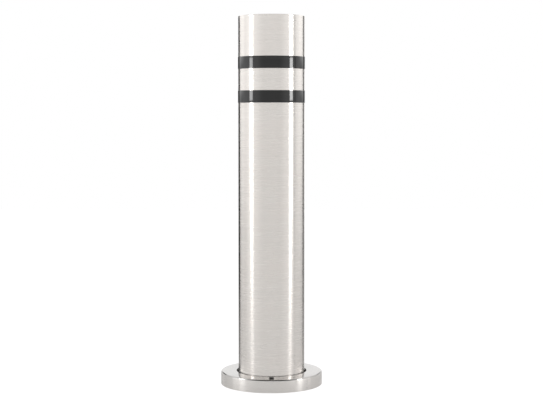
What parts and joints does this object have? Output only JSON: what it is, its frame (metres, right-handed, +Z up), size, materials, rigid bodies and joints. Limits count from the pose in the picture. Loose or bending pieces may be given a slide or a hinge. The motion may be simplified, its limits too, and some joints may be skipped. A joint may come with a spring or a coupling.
{
  "type": "safety bollard",
  "caption": "Round brushed stainless steel bollard with a flat cap, glossy black bands near the top and a loose round cover that hides its bolt-down base plate.",
  "frame": {"origin": "centre of the foot at floor level", "axes": "+Z up along the post; the front, where the cover's lifting slot is, faces -Y; +X to the right seen from the front"},
  "size_m": [0.253, 0.253, 0.915],
  "materials": {
    "brushed_stainless": "brushed round the tube, bright",
    "cover_stainless": "polished top, brushed rim",
    "mill_stainless": "dull mill finish",
    "weld_metal": "rippled bead with heat tint",
    "black_vinyl": "glossy",
    "black_rubber": "matt"
  },
  "bodies": {
    "post": {"post_tube": "brushed_stainless", "top_cap": "brushed_stainless", "cap_weld": "brushed_stainless", "cap_backing_ring": "mill_stainless", "upper_black_band": "black_vinyl", "lower_black_band": "black_vinyl", "foot_ring": "mill_stainless", "base_plate": "mill_stainless", "base_weld": "weld_metal", "ground_pad": "black_rubber"},
    "seal": {"cover_seal_ring": "black_rubber"},
    "cover": {"base_cover": "cover_stainless", "cover_spacer_pads": "black_rubber"}
  },
  "joints": [
    {"name": "cover_lift", "type": "slide", "parent": "post", "child": "seal", "axis": [0, 0, 1], "range_m": [0, 0.96]},
    {"name": "cover_turn", "type": "hinge", "parent": "seal", "child": "cover", "pos_m": [0, 0, 0], "axis": [0, 0, 1], "continuous": true}
  ]
}
